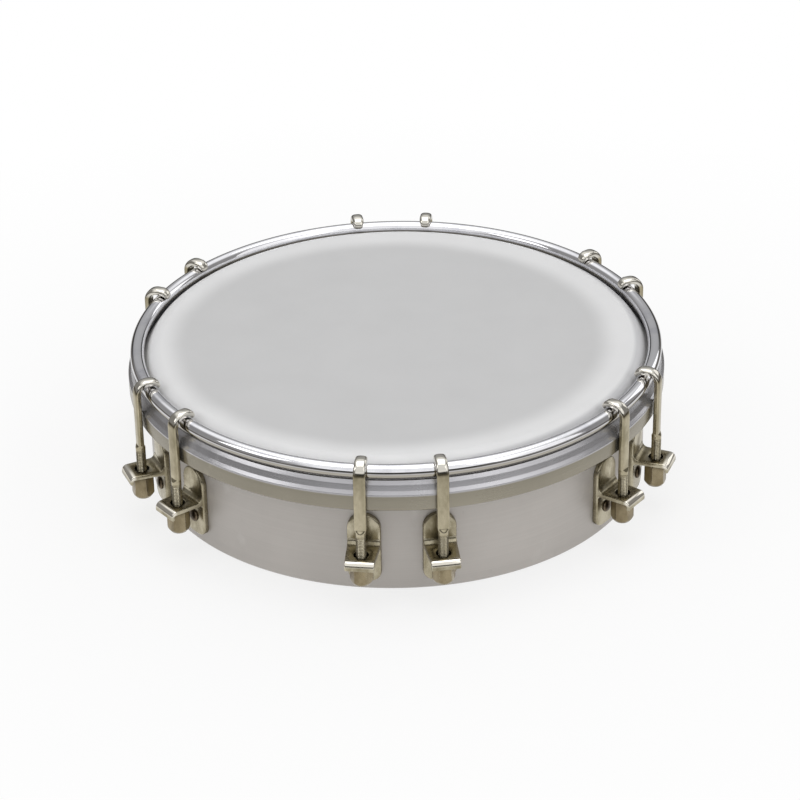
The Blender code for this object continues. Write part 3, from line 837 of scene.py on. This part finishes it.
# %% Drill the bracket
SHANK_HOLE = 2.15 * MM
HOLE_FLARE = 0.3 * MM
DRILL_PAST = 0.01 * MM
RIVET_HEIGHT = 10.0 * MM
RIVET_SHANK = 1.2 * MM
RIVET_HOLE = RIVET_SHANK + 0.03 * MM
SHELL_INSIDE = wall_inside - SHANK_RADIUS
RIVET_DRILL_END = SHELL_INSIDE - 2.0 * MM


def level_axis(y, z, x):
    """A place around the rivet's axis, which points outwards."""
    return (x, y, z + RIVET_HEIGHT)


flared = SHANK_HOLE + HOLE_FLARE
shank_profile = [(SHANK_HOLE, SHELF_TOP - 2 * SHELF), (SHANK_HOLE, SHELF_TOP - HOLE_FLARE),
                 (SHANK_HOLE + HOLE_FLARE / 3, SHELF_TOP - HOLE_FLARE / 3),
                 (flared, SHELF_TOP + DRILL_PAST), (flared, SHELF_TOP + SHELF)]
shank_drill_mesh = to_mesh(stacked(shank_profile, 48, lambda x, y, z: (x, y, z)), "shank_drill")
rivet_drill_mesh = to_mesh(stacked([(RIVET_HOLE, RIVET_DRILL_END), (RIVET_HOLE, 0.0)], 24, level_axis),
                           "rivet_drill")
bracket_mesh = combined(bracket_mesh, shank_drill_mesh, "DIFFERENCE")
bracket_mesh = smoothed(combined(bracket_mesh, rivet_drill_mesh, "DIFFERENCE"))
print("bracket has", len(bracket_mesh.polygons), "faces")

# %% [markdown]
# ## The rivet
# One rivet holds each bracket, through the plate and the shell, below the shelf. Outside it has a low
# domed head. Inside, the end was pressed flat when it was set. Both heads and the shank are one
# turned form, so it is a stack of circles around a level axis.

# %% Turn the rivet
RIVET_HEAD = 1.95 * MM
RIVET_DOME = 0.95 * MM
DOME_SEAT = 0.16 * MM
DOME_EDGE = 0.05 * MM
SHOP_HEAD = 0.7 * MM
# The pressed end: shares of the head's radius and of its height.
SHOP_HEAD_CURVE = ((0.45, 1.0), (0.72, 0.92), (0.90, 0.70), (0.99, 0.35), (1.0, 0.03))
SEAM = 0.02 * MM

rivet_profile = [(share * RIVET_HEAD, SHELL_INSIDE - rise * SHOP_HEAD) for share, rise in SHOP_HEAD_CURVE]
rivet_profile += [(RIVET_SHANK, SHELL_INSIDE - SEAM), (RIVET_SHANK, PLATE_FRONT)]
rivet_profile += [(RIVET_HEAD - DOME_EDGE, PLATE_FRONT + SEAM), (RIVET_HEAD, PLATE_FRONT + DOME_SEAT / 2)]
for radius, rise in arc((0.0, 0.0), 1.0, 0, 80, 8):
    rivet_profile.append((RIVET_HEAD * radius, PLATE_FRONT + DOME_SEAT + (RIVET_DOME - DOME_SEAT) * rise))
rivet_mesh = to_mesh(stacked(rivet_profile, 40, level_axis), "set_rivet")
print("rivet is", round((rivet_profile[-1][1] - rivet_profile[0][1]) / MM, 2), "mm long")

# %% [markdown]
# ## Holes for the rivets
# The shell is drilled behind each bracket. All twelve drills are put into one mesh, so that a single
# boolean cuts them: it is quicker than twelve, and the shell stays one clean surface.

# %% Drill the shell
drills = bmesh.new()
for place in lug_places.values():
    before = len(drills.verts)
    drills.from_mesh(rivet_drill_mesh)
    drills.verts.ensure_lookup_table()
    bmesh.ops.transform(drills, matrix=place, verts=drills.verts[before:])
shell_mesh = smoothed(combined(shell_mesh, to_mesh(drills, "shell_drills"), "DIFFERENCE"))
shell_mesh.name = "spun_shell"
dress("spun_shell", shell_mesh, shell_satin, "shell", "drum")
print("shell has", len(shell_mesh.polygons), "faces")

# %% [markdown]
# ## The hook's thread
# Each hook starts as a 3 mm rod with a rolled thread, half a millimetre from crest to crest. The
# whole hook is one skin over rings that all have the same number of points, so the thread can run
# out into the strip above it with no joint. The thread is a true helix: each ring's radius waves
# once around the shank, and the wave turns as the rings climb. A bump on a plain rod would be
# quicker, but its outline would stay straight, and the outline is where a thread shows.

# %% Shape the hook's sections
RING_POINTS = 32
THREAD_CREST = 1.5 * MM
THREAD_ROOT = 1.21 * MM
PITCH = 0.5 * MM
HOOK_BOTTOM = 6.5 * MM
TIP_SLOPE = 0.8
GROOVE_POWER = 0.8
ring_turns = [2 * math.pi * (index + 0.5) / RING_POINTS for index in range(RING_POINTS)]


def bar_ring(x, z, lean, half_width, half_thick, power):
    """A superellipse section, from a circle to a rounded bar as its power grows, leaned in degrees."""
    cosine, sine = math.cos(math.radians(lean)), math.sin(math.radians(lean))
    ring = []
    for turn in ring_turns:
        across = half_width * math.copysign(abs(math.cos(turn)) ** (2 / power), math.cos(turn))
        out = half_thick * math.copysign(abs(math.sin(turn)) ** (2 / power), math.sin(turn))
        ring.append((x + out * cosine, across, z + out * sine))
    return ring


def thread_ring(z, depth):
    """A section of the thread; depth is the share of the full groove."""
    tip = THREAD_ROOT + max(z - HOOK_BOTTOM, 0.0) * TIP_SLOPE
    ring = []
    for turn in ring_turns:
        wave = 0.5 - 0.5 * math.cos(turn + 2 * math.pi * z / PITCH)
        radius = THREAD_CREST - (THREAD_CREST - THREAD_ROOT) * depth * wave ** GROOVE_POWER
        radius = min(radius, tip)
        ring.append((radius * math.sin(turn), radius * math.cos(turn), z))
    return ring


print("each ring of the hook has", RING_POINTS, "points")

# %% Model the thread in rings
THREAD_STEPS = 7
THREAD_TOP = 23.9 * MM
RUN_OUT_TURNS = 4
TIP_RADIUS = THREAD_ROOT * 0.75
ROUND = 2.0

hook_rings = [bar_ring(0.0, HOOK_BOTTOM, 0.0, TIP_RADIUS, TIP_RADIUS, ROUND)]
thread_count = round((THREAD_TOP - HOOK_BOTTOM) / PITCH * THREAD_STEPS)
for index in range(thread_count + 1):
    level = HOOK_BOTTOM + (THREAD_TOP - HOOK_BOTTOM) * index / thread_count
    run_out = min(1.0, (THREAD_TOP - level) / (RUN_OUT_TURNS * PITCH))
    hook_rings.append(thread_ring(level, run_out * run_out))
print("thread has", thread_count, "rings over", round((THREAD_TOP - HOOK_BOTTOM) / PITCH, 1), "turns")

# %% [markdown]
# ## The hook's strip and claw
# Above the thread the hook is pressed to a flat strip. Its end is bent over the counter hoop, forged
# a little thicker, and tapered to a rounded claw that wraps the hoop's rod. Solids joined by booleans
# would leave creases that the real metal doesn't have. Going on with rings makes all of it one
# surface: from round to flat the sizes and the power change in a few steps, the bend leans the rings
# through a quarter turn, and the claw's rings turn around the middle of the hoop's rod.

# %% Flatten the rod to a strip
STRIP_BOTTOM = 24.9 * MM
STRIP_HALF_WIDTH = 1.8 * MM
STRIP_HALF_THICK = 0.95 * MM
STRIP_POWER = 3.8
FLATTENING = (0.25, 0.5, 0.75, 0.93)
CROWN_BEND = 3.3 * MM
CROWN_HEIGHT = 45.1 * MM
bend_level = CROWN_HEIGHT - CROWN_BEND
STRIP_LEVELS = (STRIP_BOTTOM, STRIP_BOTTOM + 0.12 * MM, 30 * MM, 36 * MM, bend_level - 1.5 * MM)


def between(first, second, share):
    """A value on the way from one to another."""
    return first + (second - first) * share


for share in FLATTENING:
    hook_rings.append(bar_ring(0.0, between(THREAD_TOP, STRIP_BOTTOM, share), 0.0,
                               between(THREAD_CREST, STRIP_HALF_WIDTH, share),
                               between(THREAD_CREST, STRIP_HALF_THICK, share),
                               between(ROUND, STRIP_POWER, share)))
for level in STRIP_LEVELS:
    hook_rings.append(bar_ring(0.0, level, 0.0, STRIP_HALF_WIDTH, STRIP_HALF_THICK, STRIP_POWER))
print("strip is", round(2 * STRIP_HALF_WIDTH / MM, 1), "by", round(2 * STRIP_HALF_THICK / MM, 1), "mm")

# %% Bend the crown and the claw
CROWN_HALF_THICK = 1.08 * MM
CROWN_POWER = 2.7
BEND_STEPS = 14
FORGED_BY = 60.0
CLAW_SMOOTH_ANGLE = math.radians(75)
# Around the counter hoop's rod: the turn in degrees, and the shares of full width and thickness.
CLAW = ((98, 1.00, 1.00), (109, 0.97, 0.96), (119, 0.93, 0.90), (128, 0.87, 0.82), (136, 0.80, 0.72),
        (143, 0.68, 0.58), (148, 0.50, 0.41), (151, 0.26, 0.22))

for x, z in arc((-CROWN_BEND, bend_level), CROWN_BEND, 0, 90, BEND_STEPS):
    lean = math.degrees(math.atan2(z - bend_level, x + CROWN_BEND))
    forged = min(1.0, lean / FORGED_BY)
    hook_rings.append(bar_ring(x, z, lean, STRIP_HALF_WIDTH,
                               between(STRIP_HALF_THICK, CROWN_HALF_THICK, forged),
                               between(STRIP_POWER, CROWN_POWER, forged)))
rod_middle = (ROD_CENTRE_RADIUS - SHANK_RADIUS, ROD_CENTRE_HEIGHT)
claw_inside = CROWN_HEIGHT - CROWN_HALF_THICK - ROD_CENTRE_HEIGHT
for turn, width, thick in CLAW:
    half_thick = CROWN_HALF_THICK * thick
    x, z = arc(rod_middle, claw_inside + half_thick, turn, turn, 1)[0]
    hook_rings.append(bar_ring(x, z, turn, STRIP_HALF_WIDTH * width, half_thick, CROWN_POWER))
hook_mesh = to_mesh(skin(hook_rings, closed_ends=True), "claw_hook", CLAW_SMOOTH_ANGLE)
print("hook has", len(hook_rings), "rings and", len(hook_mesh.polygons), "faces")

# %% [markdown]
# ## The tuning nut
# The nut is a long hexagon, 6 mm across its flats. Its lower end was turned to a cone before the flats
# were cut, and where the two meet, each flat ends in a curve. Nothing has to draw that curve here: each
# point around the nut starts where the cone reaches its own radius, higher at the corners than in the
# middle of the flats. The hexagon itself comes from six flats that are blended a little at the
# corners, as they are on a plated nut.

# %% Model the nut
NUT_FLATS = 6.0 * MM
NUT_LOW = 7.1 * MM
NUT_MIDDLE = 11.0 * MM
NUT_HIGH = 14.8 * MM
NUT_BORE = 1.56 * MM
NUT_COUNTERSINK = 1.85 * MM
COUNTERSINK_DEPTH = 0.3 * MM
NUT_FOOT = 2.45 * MM
CONE_SLOPE = 1.4
TOP_CONE_RADIUS = 2.9 * MM
TOP_CONE_SLOPE = 0.5
CORNER_POWER = 38
NUT_STEPS = 96
NUT_EDGE = 0.1 * MM


def nut_radius(angle):
    """Distance from the axis to the nut's side, with slightly rounded corners."""
    total = 0.0
    for flat in range(6):
        total += max(math.cos(angle - flat * math.pi / 3), 0.0) ** CORNER_POWER
    return NUT_FLATS / 2 / total ** (1 / CORNER_POWER)


nut_columns = []
for step in range(NUT_STEPS):
    angle = 2 * math.pi * step / NUT_STEPS
    side = nut_radius(angle)
    cone = NUT_LOW + (side - NUT_FOOT) * CONE_SLOPE
    shoulder = NUT_HIGH - max(side - TOP_CONE_RADIUS, 0.0) * TOP_CONE_SLOPE
    section = [(NUT_BORE, NUT_LOW + COUNTERSINK_DEPTH), (NUT_COUNTERSINK, NUT_LOW),
               (NUT_FOOT - NUT_EDGE, NUT_LOW), (NUT_FOOT, NUT_LOW + NUT_EDGE / 2),
               (side - NUT_EDGE / 2, cone - NUT_EDGE / 2), (side, cone + NUT_EDGE), (side, NUT_MIDDLE),
               (side, shoulder - NUT_EDGE), (side - NUT_EDGE / 2, shoulder),
               (TOP_CONE_RADIUS - 2 * NUT_EDGE, NUT_HIGH), (NUT_COUNTERSINK, NUT_HIGH),
               (NUT_BORE, NUT_HIGH - COUNTERSINK_DEPTH)]
    nut_columns.append([(r * math.cos(angle), r * math.sin(angle), level) for r, level in section])
nut_mesh = to_mesh(skin(list(zip(*nut_columns)), closed_loop=True), "hex_nut")
print("nut is", round(2 * nut_radius(math.pi / 6) / MM, 2), "mm across its corners")

# %% [markdown]
# ## All twelve lugs
# The real drum's twelve hooks are all alike, and so are its nuts, brackets and rivets. Each kind is
# one mesh that twelve objects share, so a change to it is made once. The matrices found at the start
# put each set in its place. The bracket and its rivet stay with the drum, while the hook and the nut
# ride on bodies of their own.

# %% Put the lugs on the drum
for number, place in lug_places.items():
    dress("bracket_" + number, bracket_mesh, nickel["bracket_nickel"], "lug_bracket_" + number,
          "drum", place)
    dress("rivet_" + number, rivet_mesh, nickel["rivet_dull"], "lug_rivet_" + number,
          "drum", place)
    dress("hook_" + number, hook_mesh, nickel["hook_nickel"], "tension_hook_" + number,
          "hook_" + number, place)
    dress("nut_" + number, nut_mesh, nickel["nut_nickel"], "tuning_nut_" + number,
          "nut_" + number, place)
print("dressed", 4 * len(lug_places), "lug pieces")

# %% [markdown]
# ## The floor
# The drum stands on a plain white sheet. The floor is white paint, lit like everything else, so it
# keeps the drum's soft shadow. For rays from the camera it also glows, a little less near the drum
# than far from it, which lifts it to white with no more light on the drum. Mirrors see that glow
# too, but past a pool around the drum they see a dark floor, which gives plated parts dark lines.

# %% Paint the floor
FLOOR_PAINT = (0.93, 0.93, 0.93, 1.0)
WHITE = (1.0, 1.0, 1.0)
GLOW = 1.0
CAMERA_SHARE = 0.78
MIRROR_SHARE = 0.80
POOL_EDGE = (0.11, 0.27)
FAR_FLOOR = (0.10, 0.09, 0.075)

floor_white = bpy.data.materials.new("floor_white")
floor_white.use_nodes = True
tree = floor_white.node_tree
tree.nodes.clear()
path = add(tree, "LightPath").outputs
from_drum = place_step(tree, "LENGTH", add(tree, "TexCoord").outputs["Object"])
pool = ramp(tree, from_drum, *POOL_EDGE)
far_mirrored = number_step(tree, "MULTIPLY", pool, path["Is Glossy Ray"])
seen = number_step(tree, "MAXIMUM", path["Is Camera Ray"], path["Is Transmission Ray"])
seen = number_step(tree, "MULTIPLY", seen, ramp(tree, pool, 0.0, 1.0, CAMERA_SHARE, 1.0))
mirrored = ramp(tree, pool, 0.0, 1.0, MIRROR_SHARE, 1.0)
mirrored = number_step(tree, "MULTIPLY", path["Is Glossy Ray"], mirrored)
share = number_step(tree, "MAXIMUM", seen, mirrored)
paint = add(tree, "BsdfDiffuse", {"Color": FLOOR_PAINT}).outputs[0]
glow_colour = blend(tree, far_mirrored, WHITE, FAR_FLOOR)
glow = add(tree, "Emission", {"Color": glow_colour, "Strength": GLOW}).outputs[0]
floor_shader = add(tree, "MixShader", {0: share, 1: paint, 2: glow})
add(tree, "OutputMaterial", {"Surface": floor_shader.outputs[0]})
print("floor finish has", len(tree.nodes), "nodes")

# %% Lay the floor
FLOOR_HALF = 1.6

floor_mesh = bpy.data.meshes.new("floor")
corners = [(x * FLOOR_HALF, y * FLOOR_HALF, 0.0) for x, y in ((-1, -1), (1, -1), (1, 1), (-1, 1))]
floor_mesh.from_pydata(corners, [], [(0, 1, 2, 3)])
floor_mesh.materials.append(floor_white)
floor = put_in_scene("floor", floor_mesh)
print("floor is", 2 * FLOOR_HALF, "m square")

# %% [markdown]
# ## The room
# Metal shows the room more than it shows itself. The world has three answers, by the kind of ray.
# The camera sees plain white. Matt surfaces get an even pale grey. Mirrors see a studio: dark up to
# a line above the horizon and bright over it, with a dimmer back wall and grey cloths to the left
# and right. The dark part draws the thin black line along a chromed rod, and the wall and the cloths
# keep the rod grey at the drum's ends. Heights and sides are those of a direction one unit long.

# %% Make the world
MATT_LIGHT = (0.52, 0.52, 0.52)
# The height that a mirror looks towards, and how bright the room is there.
ROOM_FRONT = ((0.000, 0.04), (0.215, 0.05), (0.285, 1.00), (0.550, 0.85), (0.900, 0.90))
ROOM_BACK = ((0.000, 0.04), (0.150, 0.05), (0.230, 0.36), (0.520, 0.42), (0.680, 1.00), (0.900, 0.90))
BACK_EDGE = (0.10, 0.45)
CLOTH_EDGE = (0.50, 0.72)
CLOTH_GREY = (0.26, 0.255, 0.25)

world = bpy.data.worlds.new("studio")
bpy.context.scene.world = world
world.use_nodes = True
tree = world.node_tree
tree.nodes.clear()
direction = axes_of(tree, add(tree, "TexCoord").outputs["Generated"])


def room_side(levels):
    """How bright one side of the room is at each height."""
    side = add(tree, "ValToRGB", {0: direction["Z"]})
    stops = side.color_ramp.elements
    for index, (level, grey) in enumerate(levels):
        stop = stops[index] if index < 2 else stops.new(level)
        stop.position = level
        stop.color = (grey, grey, grey, 1.0)
    return side.outputs[0]


path = add(tree, "LightPath").outputs
backwards = ramp(tree, direction["Y"], *BACK_EDGE)
room = blend(tree, backwards, room_side(ROOM_FRONT), room_side(ROOM_BACK))
sideways = number_step(tree, "ABSOLUTE", direction["X"])
studio = blend(tree, ramp(tree, sideways, *CLOTH_EDGE), room, CLOTH_GREY)
view = blend(tree, path["Is Glossy Ray"], MATT_LIGHT, studio)
seen = number_step(tree, "MAXIMUM", path["Is Camera Ray"], path["Is Transmission Ray"])
backdrop = add(tree, "Background", {"Color": blend(tree, seen, view, WHITE), "Strength": 1.0})
add(tree, "OutputWorld", {"Surface": backdrop.outputs[0]})
print("world has", len(tree.nodes), "nodes")

# %% [markdown]
# ## The lamps
# One large soft lamp hangs overhead, for the even head and the soft shadow. The other three are
# there for the plated parts: a small one at the left and a broad one at the right draw highlights on
# the hooks' crowns, and a low one behind shows as a bright line in the noses on the right. The
# powers are set so that a matt surface that faces up renders about as its colour says.

# %% Hang the lamps
# Place, width of the square in metres, and power in watts.
LAMPS = {
    "ceiling": ((0.0, 0.10, 1.30), 1.1, 6.4),
    "left_box": ((-0.85, -0.35, 0.70), 0.45, 1.0),
    "right_box": ((0.80, -0.50, 0.60), 0.80, 1.4),
    "back_box": ((0.90, 0.68, 0.45), 0.55, 0.9),
}
for name, (spot, size, power) in LAMPS.items():
    lamp = put_in_scene(name, bpy.data.lights.new(name, "AREA"))
    lamp.data.shape = "SQUARE"
    lamp.data.size = size
    lamp.data.energy = power
    lamp.location = spot
    lamp.rotation_euler = (-Vector(spot)).to_track_quat("-Z", "Y").to_euler()
print("hung", len(LAMPS), "lamps")

# %% [markdown]
# ## The camera
# The photograph was taken with a long lens from a little above, so the head shows as a flat ellipse
# and the lines of the shell hardly draw together. The camera's distance, height and tilt were fitted to
# the drum's ellipses, and they are written here as angles and lengths that can be read and changed.

# %% Set the camera
LENS = 127.35
SENSOR = 36.0
NEAREST = 0.01
DISTANCE = 0.874
ELEVATION = math.radians(29.24)
SWING = math.radians(-0.57)
ROLL = math.radians(-1.03)
AIM_HEIGHT = 25.0 * MM
AIM_RIGHT = 1.00 * MM
AIM_UP = -3.94 * MM

swing = Matrix.Rotation(SWING, 3, "Z")
back = swing @ Vector((0.0, -math.cos(ELEVATION), math.sin(ELEVATION)))
right = swing @ Vector((1.0, 0.0, 0.0))
up = back.cross(right)
right, up = (right * math.cos(ROLL) + up * math.sin(ROLL), up * math.cos(ROLL) - right * math.sin(ROLL))
aim = Vector((0.0, 0.0, AIM_HEIGHT)) + right * AIM_RIGHT + up * AIM_UP
camera = put_in_scene("camera", bpy.data.cameras.new("camera"))
camera.data.lens = LENS
camera.data.sensor_width = SENSOR
camera.data.clip_start = NEAREST
facing = Matrix((right, up, back)).transposed().to_4x4()
camera.matrix_world = Matrix.Translation(aim + back * DISTANCE) @ facing
bpy.context.scene.camera = camera
bpy.context.scene.view_settings.view_transform = "Standard"
print("camera is", round(camera.matrix_world.translation.z / MM), "mm above the floor")

# %% [markdown]
# ## The end
# The drum is dressed, and the scene has its floor, room, lamps and camera.
